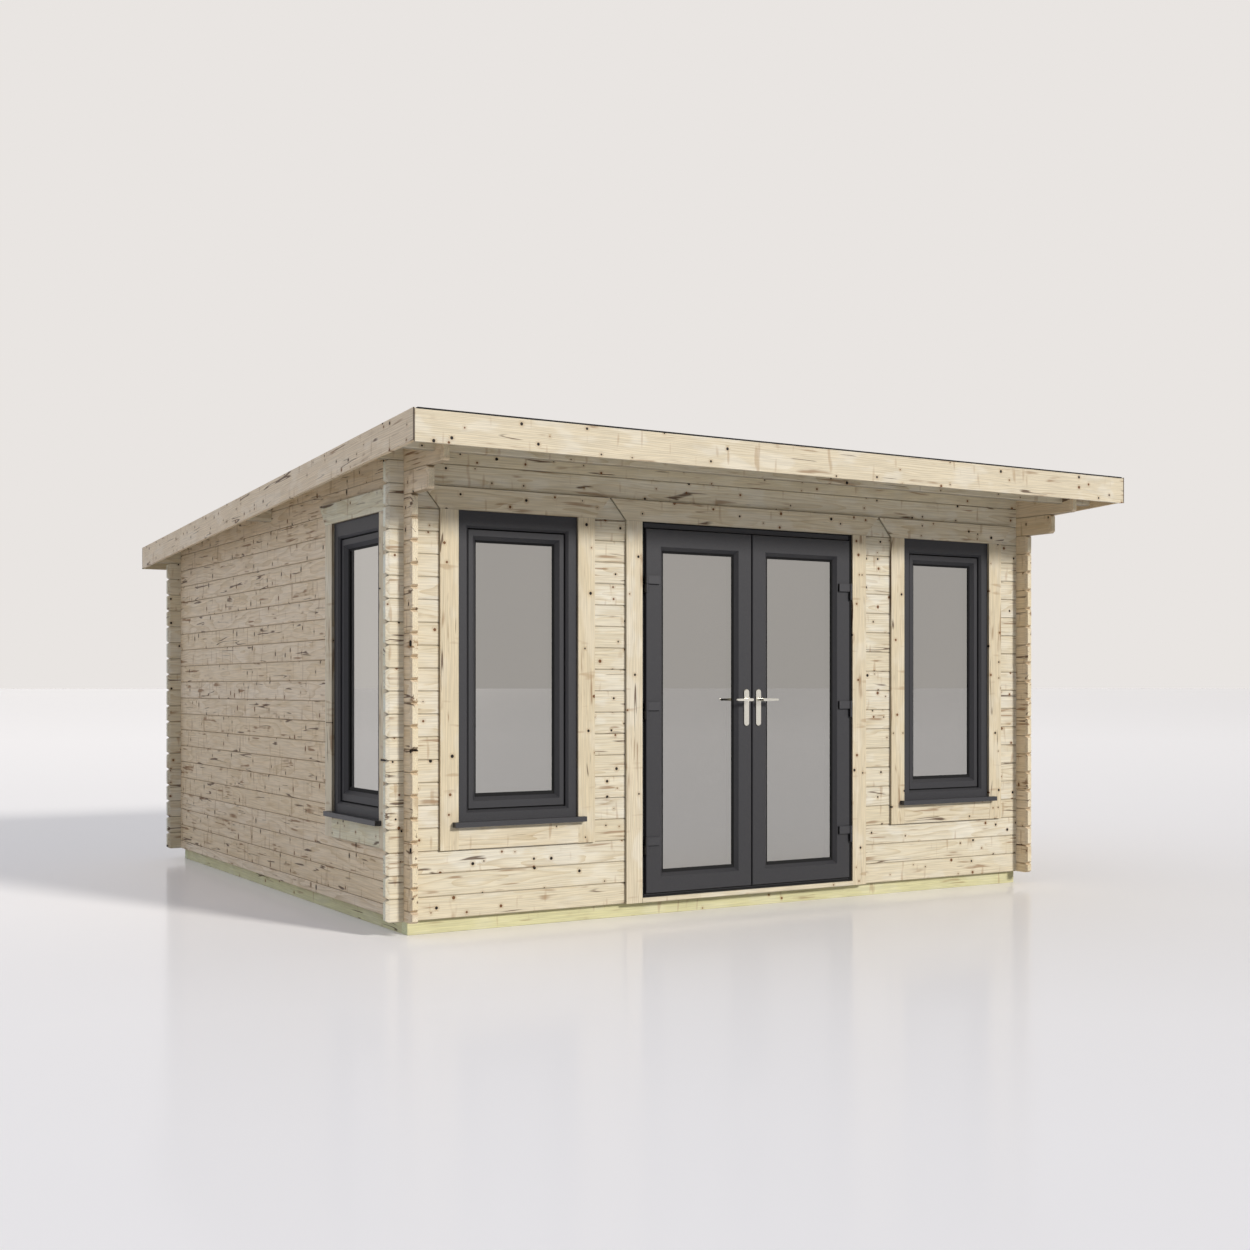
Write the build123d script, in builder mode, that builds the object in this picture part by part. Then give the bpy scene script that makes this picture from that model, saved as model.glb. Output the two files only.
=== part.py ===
"""Garden office pod: a pent-roofed cabin of notched, interlocking spruce logs.

Millimetres, +Z up. The origin is on the ground under the middle of the roof and the
French doors face -Y. Every log is a solid of its own. The logs of one wall are kept as
two sets, the even and the odd courses, because neighbours in the stack touch.
"""

import os

from build123d import *

os.makedirs("parts", exist_ok=True)

# Logs and their corner joint
LOG_THICKNESS = 44
LOG_PITCH = 114
HALF_LOG = LOG_PITCH / 2
NOTCH = LOG_PITCH / 4
JOINT_BEVEL = 5
CROWN = 93
CROWN_BEVEL_ALONG = 20
CROWN_BEVEL_DOWN = 12
CROWN_BEVEL_SIDE = 7

# Plan of the walls, from outer face to outer face, and the roof's overhangs
CABIN_WIDTH = 4190
CABIN_DEPTH = 4166
FRONT_OVERHANG = 633
BACK_OVERHANG = 191
SIDE_OVERHANG = 217

# Heights and thicknesses of base and roof
BEARER_HEIGHT = 73
BEARER_WIDTH = 70
BEARER_INSET = 34
JOIST_WIDTH = 45
JOIST_COUNT = 6
FLOOR_THICKNESS = 19
ROOF_TOP = 2501
ROOF_FALL = 252
MEMBRANE = 8
ROOF_BOARD = 19
FASCIA_THICKNESS = 20
FASCIA_HEIGHT = 148
SIDE_FASCIA_DROP = 2

# Top logs that step forward as corbels, and the purlins
LOWER_CORBEL = 291
UPPER_CORBEL = 465
FRONT_PURLIN_FROM_WALL = 363
MIDDLE_PURLIN_FROM_WALL = 2080

# Openings
FRONT_WINDOW_OFFSET = 1461
SIDE_WINDOW_FROM_FRONT = 628
WINDOW_WIDTH = 734
WINDOW_FIRST_COURSE = 4
HEAD_COURSE = 18
TOP_COURSE = 20
BACK_TOP_COURSE = 18
DOOR_WIDTH = 1490

# Window frame, sash and sill
FRAME_DEPTH = 70
FRAME_SIDE = 85
FRAME_BOTTOM = 55
SASH_RECESS = 18
SASH_GAP = 8
SASH_STOP = 40
PANE_HALF_WIDTH = 230
PANE_BOTTOM = 674
PANE_TOP = 1982
FRAME_BEVEL = 12
BEAD_BEVEL = 20
PANE_RECESS = 48
PANE_THICKNESS = 20
SILL_THICKNESS = 26
SILL_NOSE = 52
SILL_HALF_LENGTH = 377

# Architraves round doors and windows
TRIM_THICKNESS = 16
TRIM_WIDTH = 100
TRIM_LAP = 23
HEAD_SPREAD = 94

# Doors
TIMBER_SILL_HEIGHT = 25
TIMBER_SILL_NOSE = 20
JAMB = 42
DOOR_HEAD = 30
THRESHOLD = 17
STOP_WIDTH = 18
STOP_FROM_FACE = 50
LEAF_GAP = 5
MEETING_GAP = 8
MEETING_REBATE = 3
LEAF_THICKNESS = 60
LEAF_PROUD = 16
STILE_OUTER = 112
STILE_MEETING = 108
LEAF_PANE_BOTTOM = 226
LEAF_PANE_TOP = 1974
LEAF_PANE_RECESS = 28
LEAF_PANE_THICKNESS = 24
LEAF_EDGE_BEVEL = 3

# Hinges: three to a leaf, the lower half of each barrel on the frame
HINGE_HEIGHTS = (378, 1107, 1790)
BARREL_RADIUS = 9
BARREL_HALF = 46
BARREL_GAP = 2
HINGE_AXIS_PROUD = 27
HINGE_AXIS_PAST_LEAF = 2
HINGE_FLAG_LENGTH = 85
HINGE_FLAG_HEIGHT = 44
HINGE_FLAG_THICKNESS = 12
HINGE_STEM_WIDTH = 9

# Lever handles
HANDLE_OFFSET = 41
PLATE_HEIGHT = 206
PLATE_WIDTH = 34
PLATE_THICKNESS = 8
PLATE_BEVEL = 2
PLATE_CENTRE = 1119
LEVER_HEIGHT = 1163
LEVER_LENGTH = 102
LEVER_DEPTH = 14
LEVER_TIP_DEPTH = 9
LEVER_TALL = 16
LEVER_TIP_TALL = 11
LEVER_STANDOFF = 42
NECK_RADIUS = 8
NECK_CLEARANCE = 0.5

# Positions that follow from these sizes
LEFT = -CABIN_WIDTH / 2
RIGHT = CABIN_WIDTH / 2
ROOF_DEPTH = FRONT_OVERHANG + CABIN_DEPTH + BACK_OVERHANG
ROOF_FRONT = -ROOF_DEPTH / 2
ROOF_BACK = ROOF_DEPTH / 2
ROOF_HALF = CABIN_WIDTH / 2 + SIDE_OVERHANG
FRONT = ROOF_FRONT + FRONT_OVERHANG
BACK = FRONT + CABIN_DEPTH
FASCIA_INSIDE = ROOF_HALF - FASCIA_THICKNESS
SLOPE = ROOF_FALL / ROOF_DEPTH
HALF_LOG_THICKNESS = LOG_THICKNESS / 2
FRONT_LINE = FRONT + HALF_LOG_THICKNESS
BACK_LINE = BACK - HALF_LOG_THICKNESS
SIDE_LINE = RIGHT - HALF_LOG_THICKNESS
CROWN_END = RIGHT + CROWN
FRONT_PURLIN = FRONT - FRONT_PURLIN_FROM_WALL
MIDDLE_PURLIN = FRONT + MIDDLE_PURLIN_FROM_WALL
WINDOW_HALF = WINDOW_WIDTH / 2
DOOR_HALF = DOOR_WIDTH / 2
SIDE_WINDOW = FRONT + SIDE_WINDOW_FROM_FRONT


def course(number):
    """Height of the joint under a full course of the front and back walls."""
    return BEARER_HEIGHT + number * LOG_PITCH


def under_roof(y):
    """Height of the roof boards' underside at a distance y along the fall."""
    return ROOF_TOP - MEMBRANE - ROOF_BOARD - SLOPE * (y - ROOF_FRONT)


SILL_LEVEL = course(WINDOW_FIRST_COURSE)
HEAD_LEVEL = course(HEAD_COURSE)
TRIM_FOOT = course(WINDOW_FIRST_COURSE - 1)
FRAME_FOOT = SILL_LEVEL + SILL_THICKNESS

# All that lies above the roof boards' underside, to cut the top logs to the fall
with BuildPart() as above_boards:
    with BuildSketch(Plane.YZ.offset(-2 * RIGHT)):
        Polygon(
            (ROOF_FRONT * 2, under_roof(ROOF_FRONT * 2)),
            (ROOF_BACK * 2, under_roof(ROOF_BACK * 2)),
            (ROOF_BACK * 2, ROOF_TOP * 2),
            (ROOF_FRONT * 2, ROOF_TOP * 2),
            align=None,
        )
    extrude(amount=4 * RIGHT)


def log(start, end, bottom, top, crowns=(False, False), below=(), above=(), bevel_top=True):
    """One log lying along X, centred on y = 0, cut from three views.

    The side view carries the notches, given as (from, to, depth), and the sloping ends of
    the crowns. The cross-section carries the bevels of the V joints. The plan carries the
    bevelled upright corners of the crowns.
    """
    ends = [CROWN_BEVEL_ALONG if crown else 0 for crown in crowns]
    drops = [CROWN_BEVEL_DOWN if crown else 0 for crown in crowns]
    sides = [CROWN_BEVEL_SIDE if crown else 0 for crown in crowns]
    outline = [(start, bottom + drops[0]), (start + ends[0], bottom)]
    for low, high, depth in sorted(below):
        outline += [(low, bottom), (low, bottom + depth), (high, bottom + depth), (high, bottom)]
    outline += [(end - ends[1], bottom), (end, bottom + drops[1])]
    outline += [(end, top - drops[1]), (end - ends[1], top)]
    for low, high, depth in sorted(above, reverse=True):
        outline += [(high, top), (high, top - depth), (low, top - depth), (low, top)]
    outline += [(start + ends[0], top), (start, top - drops[0])]
    half = HALF_LOG_THICKNESS
    shoulder = top - JOINT_BEVEL if bevel_top else top
    shelf = half - JOINT_BEVEL if bevel_top else half
    section = [(half - JOINT_BEVEL, bottom), (half, bottom + JOINT_BEVEL)]
    section += [(half, shoulder), (shelf, top), (-shelf, top), (-half, shoulder)]
    section += [(-half, bottom + JOINT_BEVEL), (JOINT_BEVEL - half, bottom)]
    plan = [(start, sides[0] - half), (start + ends[0], -half)]
    plan += [(end - ends[1], -half), (end, sides[1] - half)]
    plan += [(end, half - sides[1]), (end - ends[1], half)]
    plan += [(start + ends[0], half), (start, half - sides[0])]
    with BuildPart() as piece:
        with BuildSketch(Plane.XZ):
            Polygon(*tidy(outline), align=None)
        extrude(amount=half, both=True)
        with BuildSketch(Plane.YZ.offset(start)):
            Polygon(*tidy(section), align=None)
        extrude(amount=end - start, mode=Mode.INTERSECT)
        if any(crowns):
            with BuildSketch(Plane.XY.offset(bottom)):
                Polygon(*tidy(plan), align=None)
            extrude(amount=top - bottom, mode=Mode.INTERSECT)
    return piece.part


def tidy(points):
    """The same outline without a point that repeats the one before it."""
    return [p for p, before in zip(points, [points[-1], *points]) if p != before]


def crossing(line, depth=NOTCH):
    """The notch that lets another wall's log, centred on line, through."""
    return (line - HALF_LOG_THICKNESS, line + HALF_LOG_THICKNESS, depth)


def cross_wall_log(number, start=-CROWN_END, end=CROWN_END):
    """A full log of the front or back wall, notched where it meets a side wall."""
    crowns = (start == -CROWN_END, end == CROWN_END)
    notches = [crossing(line) for line in (-SIDE_LINE, SIDE_LINE) if start < line < end]
    return log(start, end, course(number), course(number + 1), crowns, notches, notches)


def side_wall_log(number, start=FRONT - CROWN, end=BACK + CROWN, below=(), above=()):
    """A log of a side wall, half a course lower than the front wall's of that number."""
    bottom = max(course(number) - HALF_LOG, course(0))
    top = course(number) + HALF_LOG
    crowns = (start < FRONT, end > BACK)
    lines = [line for line in (FRONT_LINE, BACK_LINE) if start < line < end]
    notches = [crossing(line) for line in lines]
    below = [*below, *(notches if number > 0 else ())]
    return log(start, end, bottom, top, crowns, below, [*above, *notches])


# Front wall. Each course is cut round the doors, and courses 4 to 17 round the windows too.
window_near = FRONT_WINDOW_OFFSET - WINDOW_HALF
window_far = FRONT_WINDOW_OFFSET + WINDOW_HALF
left_logs = []
right_logs = []
for number in range(HEAD_COURSE):
    if number < WINDOW_FIRST_COURSE:
        left_logs.append([cross_wall_log(number, -CROWN_END, -DOOR_HALF)])
        right_logs.append([cross_wall_log(number, DOOR_HALF, CROWN_END)])
    else:
        left_logs.append(
            [
                cross_wall_log(number, -CROWN_END, -window_far),
                cross_wall_log(number, -window_near, -DOOR_HALF),
            ]
        )
        right_logs.append(
            [
                cross_wall_log(number, DOOR_HALF, window_near),
                cross_wall_log(number, window_far, CROWN_END),
            ]
        )

with BuildPart() as front_wall_left_even_logs:
    with Locations((0, FRONT_LINE, 0)):
        for pieces in left_logs[0::2]:
            add(pieces)
front_wall_left_even_logs.part.label = "front_wall_left_even_logs"
export_step(front_wall_left_even_logs.part, "parts/front_wall_left_even_logs.step")

with BuildPart() as front_wall_left_odd_logs:
    with Locations((0, FRONT_LINE, 0)):
        for pieces in left_logs[1::2]:
            add(pieces)
front_wall_left_odd_logs.part.label = "front_wall_left_odd_logs"
export_step(front_wall_left_odd_logs.part, "parts/front_wall_left_odd_logs.step")

with BuildPart() as front_wall_right_even_logs:
    with Locations((0, FRONT_LINE, 0)):
        for pieces in right_logs[0::2]:
            add(pieces)
front_wall_right_even_logs.part.label = "front_wall_right_even_logs"
export_step(front_wall_right_even_logs.part, "parts/front_wall_right_even_logs.step")

with BuildPart() as front_wall_right_odd_logs:
    with Locations((0, FRONT_LINE, 0)):
        for pieces in right_logs[1::2]:
            add(pieces)
front_wall_right_odd_logs.part.label = "front_wall_right_odd_logs"
export_step(front_wall_right_odd_logs.part, "parts/front_wall_right_odd_logs.step")

# Two courses go over the doors and windows, and the top log reaches the side fascias
side_notches = [crossing(-SIDE_LINE), crossing(SIDE_LINE)]
head_log = cross_wall_log(HEAD_COURSE)
upper_log = cross_wall_log(HEAD_COURSE + 1)
top_log = log(
    -FASCIA_INSIDE,
    FASCIA_INSIDE,
    course(TOP_COURSE),
    course(TOP_COURSE + 1),
    below=side_notches,
    bevel_top=False,
)

with BuildPart() as front_wall_head_even_logs:
    with Locations((0, FRONT_LINE, 0)):
        add([head_log, top_log])
    add(above_boards.part, mode=Mode.SUBTRACT)
front_wall_head_even_logs.part.label = "front_wall_head_even_logs"
export_step(front_wall_head_even_logs.part, "parts/front_wall_head_even_logs.step")

with BuildPart() as front_wall_head_odd_log:
    with Locations((0, FRONT_LINE, 0)):
        add(upper_log)
front_wall_head_odd_log.part.label = "front_wall_head_odd_log"
export_step(front_wall_head_odd_log.part, "parts/front_wall_head_odd_log.step")

# Back wall: plain full logs, and a top log planed to the fall
back_logs = [cross_wall_log(number) for number in range(BACK_TOP_COURSE)]
back_top_log = log(
    -FASCIA_INSIDE,
    FASCIA_INSIDE,
    course(BACK_TOP_COURSE),
    course(BACK_TOP_COURSE + 1),
    below=side_notches,
    above=side_notches,
    bevel_top=False,
)

with BuildPart() as back_wall_even_logs:
    with Locations((0, BACK_LINE, 0)):
        add([*back_logs[0::2], back_top_log])
    add(above_boards.part, mode=Mode.SUBTRACT)
back_wall_even_logs.part.label = "back_wall_even_logs"
export_step(back_wall_even_logs.part, "parts/back_wall_even_logs.step")

with BuildPart() as back_wall_odd_logs:
    with Locations((0, BACK_LINE, 0)):
        add(back_logs[1::2])
back_wall_odd_logs.part.label = "back_wall_odd_logs"
export_step(back_wall_odd_logs.part, "parts/back_wall_odd_logs.step")

# Side walls. They start with a half log, so that their joints fall half a course lower.
side_low = SIDE_WINDOW - WINDOW_HALF
side_high = SIDE_WINDOW + WINDOW_HALF
side_logs = [[side_wall_log(0)]]
for number in range(1, HEAD_COURSE + 1):
    if number == WINDOW_FIRST_COURSE:
        side_logs.append([side_wall_log(number, above=[(side_low, side_high, HALF_LOG)])])
    elif number == HEAD_COURSE:
        side_logs.append([side_wall_log(number, below=[(side_low, side_high, HALF_LOG)])])
    elif number < WINDOW_FIRST_COURSE:
        side_logs.append([side_wall_log(number)])
    else:
        side_logs.append(
            [side_wall_log(number, end=side_low), side_wall_log(number, start=side_high)]
        )

# The lower corbel is full height as far as the middle purlin and is planed to the fall
# behind it. Its top is cut for the front wall's log and for the purlin's seat.
corbel_start = FRONT - LOWER_CORBEL
corbel_top = course(HEAD_COURSE + 1) + HALF_LOG
corbel_blank_top = corbel_top + HALF_LOG
purlin_front = MIDDLE_PURLIN - HALF_LOG_THICKNESS
purlin_back = MIDDLE_PURLIN + HALF_LOG_THICKNESS
corbel_blank = log(
    corbel_start,
    BACK + CROWN,
    corbel_top - LOG_PITCH,
    corbel_blank_top,
    (True, True),
    [crossing(FRONT_LINE), crossing(BACK_LINE)],
    bevel_top=False,
)
with BuildPart() as lower_corbel:
    add(corbel_blank)
    with BuildSketch(Plane.XZ):
        Polygon(
            (corbel_start, corbel_top - CROWN_BEVEL_DOWN),
            (corbel_start + CROWN_BEVEL_ALONG, corbel_top),
            (FRONT, corbel_top),
            (FRONT, corbel_top - NOTCH),
            (FRONT + LOG_THICKNESS, corbel_top - NOTCH),
            (FRONT + LOG_THICKNESS, corbel_top),
            (purlin_front, corbel_top),
            (purlin_front, corbel_top - NOTCH),
            (purlin_back, corbel_top - NOTCH),
            (purlin_back, corbel_blank_top),
            (corbel_start, corbel_blank_top),
            align=None,
        )
    extrude(amount=LOG_THICKNESS, both=True, mode=Mode.SUBTRACT)

# The upper corbel carries the front purlin and the front wall's top log
seat_depth = LOG_PITCH - NOTCH
upper_corbel = log(
    FRONT - UPPER_CORBEL,
    purlin_front,
    corbel_top,
    course(TOP_COURSE + 1),
    (True, False),
    [crossing(FRONT_LINE)],
    [crossing(FRONT_PURLIN, seat_depth), crossing(FRONT_LINE, seat_depth)],
    bevel_top=False,
)

side_even_logs = [piece for pieces in side_logs[0::2] for piece in pieces] + [upper_corbel]
side_odd_logs = [piece for pieces in side_logs[1::2] for piece in pieces] + [lower_corbel.part]
LEFT_WALL = Location((-SIDE_LINE, 0, 0), (0, 0, 90))
RIGHT_WALL = Location((SIDE_LINE, 0, 0), (0, 0, 90))

with BuildPart() as left_wall_even_logs:
    with Locations(LEFT_WALL):
        add(side_even_logs)
    add(above_boards.part, mode=Mode.SUBTRACT)
left_wall_even_logs.part.label = "left_wall_even_logs"
export_step(left_wall_even_logs.part, "parts/left_wall_even_logs.step")

with BuildPart() as left_wall_odd_logs:
    with Locations(LEFT_WALL):
        add(side_odd_logs)
    add(above_boards.part, mode=Mode.SUBTRACT)
left_wall_odd_logs.part.label = "left_wall_odd_logs"
export_step(left_wall_odd_logs.part, "parts/left_wall_odd_logs.step")

with BuildPart() as right_wall_even_logs:
    with Locations(RIGHT_WALL):
        add(side_even_logs)
    add(above_boards.part, mode=Mode.SUBTRACT)
right_wall_even_logs.part.label = "right_wall_even_logs"
export_step(right_wall_even_logs.part, "parts/right_wall_even_logs.step")

with BuildPart() as right_wall_odd_logs:
    with Locations(RIGHT_WALL):
        add(side_odd_logs)
    add(above_boards.part, mode=Mode.SUBTRACT)
right_wall_odd_logs.part.label = "right_wall_odd_logs"
export_step(right_wall_odd_logs.part, "parts/right_wall_odd_logs.step")

# Purlins: logs of the next course, seated in the side walls and reaching the side fascias
front_purlin_log = log(
    -FASCIA_INSIDE,
    FASCIA_INSIDE,
    course(TOP_COURSE),
    course(TOP_COURSE + 1),
    below=side_notches,
    bevel_top=False,
)
middle_purlin_log = log(
    -FASCIA_INSIDE,
    FASCIA_INSIDE,
    course(TOP_COURSE - 1),
    course(TOP_COURSE),
    below=side_notches,
    bevel_top=False,
)

with BuildPart() as purlins:
    with Locations((0, FRONT_PURLIN, 0)):
        add(front_purlin_log)
    with Locations((0, MIDDLE_PURLIN, 0)):
        add(middle_purlin_log)
    add(above_boards.part, mode=Mode.SUBTRACT)
purlins.part.label = "purlins"
export_step(purlins.part, "parts/purlins.step")

# Base: a ring of bearers set back under the walls, joists between them, floor boards on top
bearer_end = RIGHT - BEARER_INSET
bearer_front = FRONT + BEARER_INSET
bearer_back = BACK - BEARER_INSET
bearer_length = bearer_back - bearer_front - 2 * BEARER_WIDTH
base_middle = (FRONT + BACK) / 2

with BuildPart() as front_and_back_bearers:
    with BuildSketch():
        with Locations(
            (0, bearer_front + BEARER_WIDTH / 2),
            (0, bearer_back - BEARER_WIDTH / 2),
        ):
            Rectangle(2 * bearer_end, BEARER_WIDTH)
    extrude(amount=BEARER_HEIGHT)
front_and_back_bearers.part.label = "front_and_back_bearers"
export_step(front_and_back_bearers.part, "parts/front_and_back_bearers.step")

with BuildPart() as side_bearers:
    with BuildSketch():
        with Locations((0, base_middle)):
            with GridLocations(2 * bearer_end - BEARER_WIDTH, 1, 2, 1):
                Rectangle(BEARER_WIDTH, bearer_length)
    extrude(amount=BEARER_HEIGHT)
side_bearers.part.label = "side_bearers"
export_step(side_bearers.part, "parts/side_bearers.step")

joist_pitch = 2 * bearer_end / (JOIST_COUNT + 1)
with BuildPart() as floor_joists:
    with BuildSketch():
        with Locations((0, base_middle)):
            with GridLocations(joist_pitch, 1, JOIST_COUNT, 1):
                Rectangle(JOIST_WIDTH, bearer_length)
    extrude(amount=BEARER_HEIGHT)
floor_joists.part.label = "floor_joists"
export_step(floor_joists.part, "parts/floor_joists.step")

with BuildPart() as floor_boards:
    with BuildSketch(Plane.XY.offset(BEARER_HEIGHT)):
        with Locations((0, base_middle)):
            Rectangle(CABIN_WIDTH - 2 * LOG_THICKNESS, CABIN_DEPTH - 2 * LOG_THICKNESS)
    extrude(amount=FLOOR_THICKNESS)
floor_boards.part.label = "floor_boards"
export_step(floor_boards.part, "parts/floor_boards.step")

# Roof: boards down the fall, a membrane over them, and fascias mitred at the corners
board_front = ROOF_FRONT + FASCIA_THICKNESS
board_back = ROOF_BACK - FASCIA_THICKNESS


def over_boards(y):
    """Height of the roof boards' top at a distance y along the fall."""
    return under_roof(y) + ROOF_BOARD


with BuildPart() as roof_boards:
    with BuildSketch(Plane.YZ.offset(-FASCIA_INSIDE)):
        Polygon(
            (board_front, under_roof(board_front)),
            (board_back, under_roof(board_back)),
            (board_back, over_boards(board_back)),
            (board_front, over_boards(board_front)),
            align=None,
        )
    extrude(amount=2 * FASCIA_INSIDE)
roof_boards.part.label = "roof_boards"
export_step(roof_boards.part, "parts/roof_boards.step")

with BuildPart() as roof_membrane:
    with BuildSketch(Plane.YZ.offset(-FASCIA_INSIDE)):
        Polygon(
            (ROOF_FRONT, over_boards(ROOF_FRONT)),
            (ROOF_BACK, over_boards(ROOF_BACK)),
            (ROOF_BACK, over_boards(ROOF_BACK) + MEMBRANE),
            (ROOF_FRONT, over_boards(ROOF_FRONT) + MEMBRANE),
            align=None,
        )
    extrude(amount=2 * FASCIA_INSIDE)
roof_membrane.part.label = "roof_membrane"
export_step(roof_membrane.part, "parts/roof_membrane.step")

with BuildPart() as front_fascia:
    with BuildSketch(Plane.YZ.offset(-ROOF_HALF)):
        Polygon(
            (ROOF_FRONT, over_boards(ROOF_FRONT) - FASCIA_HEIGHT),
            (board_front, over_boards(ROOF_FRONT) - FASCIA_HEIGHT),
            (board_front, over_boards(board_front)),
            (ROOF_FRONT, over_boards(ROOF_FRONT)),
            align=None,
        )
    extrude(amount=2 * ROOF_HALF)
    with BuildSketch():
        Polygon(
            (-ROOF_HALF, ROOF_FRONT),
            (ROOF_HALF, ROOF_FRONT),
            (FASCIA_INSIDE, board_front),
            (-FASCIA_INSIDE, board_front),
            align=None,
        )
    extrude(amount=ROOF_TOP, mode=Mode.INTERSECT)
front_fascia.part.label = "front_fascia"
export_step(front_fascia.part, "parts/front_fascia.step")

with BuildPart() as back_fascia:
    with BuildSketch(Plane.YZ.offset(-ROOF_HALF)):
        Polygon(
            (board_back, over_boards(ROOF_BACK) - FASCIA_HEIGHT),
            (ROOF_BACK, over_boards(ROOF_BACK) - FASCIA_HEIGHT),
            (ROOF_BACK, over_boards(ROOF_BACK)),
            (board_back, over_boards(board_back)),
            align=None,
        )
    extrude(amount=2 * ROOF_HALF)
    with BuildSketch():
        Polygon(
            (-FASCIA_INSIDE, board_back),
            (FASCIA_INSIDE, board_back),
            (ROOF_HALF, ROOF_BACK),
            (-ROOF_HALF, ROOF_BACK),
            align=None,
        )
    extrude(amount=ROOF_TOP, mode=Mode.INTERSECT)
back_fascia.part.label = "back_fascia"
export_step(back_fascia.part, "parts/back_fascia.step")

fascia_top_front = ROOF_TOP - SIDE_FASCIA_DROP
fascia_top_back = fascia_top_front - ROOF_FALL
with BuildPart() as side_fascias:
    with BuildSketch(Plane.YZ.offset(FASCIA_INSIDE)):
        Polygon(
            (ROOF_FRONT, fascia_top_front - FASCIA_HEIGHT),
            (ROOF_BACK, fascia_top_back - FASCIA_HEIGHT),
            (ROOF_BACK, fascia_top_back),
            (ROOF_FRONT, fascia_top_front),
            align=None,
        )
    extrude(amount=FASCIA_THICKNESS)
    with BuildSketch():
        Polygon(
            (FASCIA_INSIDE, board_front),
            (ROOF_HALF, ROOF_FRONT),
            (ROOF_HALF, ROOF_BACK),
            (FASCIA_INSIDE, board_back),
            align=None,
        )
    extrude(amount=ROOF_TOP, mode=Mode.INTERSECT)
    mirror(about=Plane.YZ)
side_fascias.part.label = "side_fascias"
export_step(side_fascias.part, "parts/side_fascias.step")

# Windows, drawn once with the wall's outer face at y = 0 and set in four walls
WINDOWS = [
    Location((-FRONT_WINDOW_OFFSET, FRONT, 0)),
    Location((FRONT_WINDOW_OFFSET, FRONT, 0)),
    Location((LEFT, SIDE_WINDOW, 0), (0, 0, -90)),
    Location((RIGHT, SIDE_WINDOW, 0), (0, 0, 90)),
]
window_middle = (FRAME_FOOT + HEAD_LEVEL) / 2
daylight_half = WINDOW_HALF - FRAME_SIDE
daylight_foot = FRAME_FOOT + FRAME_BOTTOM
daylight_head = HEAD_LEVEL - FRAME_SIDE
sash_half = daylight_half - SASH_GAP
sash_foot = daylight_foot + SASH_GAP
sash_head = daylight_head - SASH_GAP


def face(low_x, high_x, low_z, high_z):
    """A rectangle in a wall's outer face, from one corner to the other."""
    with Locations(((low_x + high_x) / 2, (low_z + high_z) / 2)):
        Rectangle(high_x - low_x, high_z - low_z)


with BuildPart() as window_frame:
    with BuildSketch(Plane.XZ):
        face(-WINDOW_HALF, WINDOW_HALF, FRAME_FOOT, HEAD_LEVEL)
    extrude(amount=-FRAME_DEPTH)
    with BuildSketch(Plane.XZ):
        face(-daylight_half, daylight_half, daylight_foot, daylight_head)
    extrude(amount=-SASH_STOP, mode=Mode.SUBTRACT)
    front_face = window_frame.faces().sort_by(Axis.Y)[0]
    chamfer(front_face.inner_wires()[0].edges(), length=FRAME_BEVEL)
    with BuildSketch(Plane.XZ.offset(-SASH_STOP)):
        face(-sash_half, sash_half, sash_foot, sash_head)
    extrude(amount=SASH_STOP - FRAME_DEPTH, mode=Mode.SUBTRACT)

with BuildPart() as window_sash:
    with BuildSketch(Plane.XZ.offset(-SASH_RECESS)):
        face(-sash_half, sash_half, sash_foot, sash_head)
    extrude(amount=SASH_RECESS - FRAME_DEPTH)
    with BuildSketch(Plane.XZ.offset(-SASH_RECESS)):
        face(-PANE_HALF_WIDTH, PANE_HALF_WIDTH, PANE_BOTTOM, PANE_TOP)
    extrude(amount=SASH_RECESS - FRAME_DEPTH, mode=Mode.SUBTRACT)
    front_face = window_sash.faces().sort_by(Axis.Y)[0]
    chamfer(front_face.inner_wires()[0].edges(), length=BEAD_BEVEL)

with BuildPart() as window_pane:
    with BuildSketch(Plane.XZ.offset(-PANE_RECESS)):
        face(-PANE_HALF_WIDTH, PANE_HALF_WIDTH, PANE_BOTTOM, PANE_TOP)
    extrude(amount=-PANE_THICKNESS)

with BuildPart() as window_sill:
    with BuildSketch(Plane.XY.offset(SILL_LEVEL)):
        Polygon(
            (-SILL_HALF_LENGTH, -SILL_NOSE),
            (SILL_HALF_LENGTH, -SILL_NOSE),
            (SILL_HALF_LENGTH, -TRIM_THICKNESS),
            (WINDOW_HALF - TRIM_LAP, -TRIM_THICKNESS),
            (WINDOW_HALF - TRIM_LAP, 0),
            (WINDOW_HALF, 0),
            (WINDOW_HALF, FRAME_DEPTH),
            (-WINDOW_HALF, FRAME_DEPTH),
            (-WINDOW_HALF, 0),
            (TRIM_LAP - WINDOW_HALF, 0),
            (TRIM_LAP - WINDOW_HALF, -TRIM_THICKNESS),
            (-SILL_HALF_LENGTH, -TRIM_THICKNESS),
            align=None,
        )
    extrude(amount=SILL_THICKNESS)

trim_inside = WINDOW_HALF - TRIM_LAP
trim_outside = trim_inside + TRIM_WIDTH
with BuildPart() as window_side_trim:
    with BuildSketch(Plane.XZ):
        face(trim_inside, trim_outside, TRIM_FOOT, HEAD_LEVEL)
    extrude(amount=TRIM_THICKNESS)
    mirror(about=Plane.YZ)

with BuildPart() as window_foot_trim:
    with BuildSketch(Plane.XZ):
        face(-trim_inside, trim_inside, TRIM_FOOT, SILL_LEVEL)
    extrude(amount=TRIM_THICKNESS)

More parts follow.
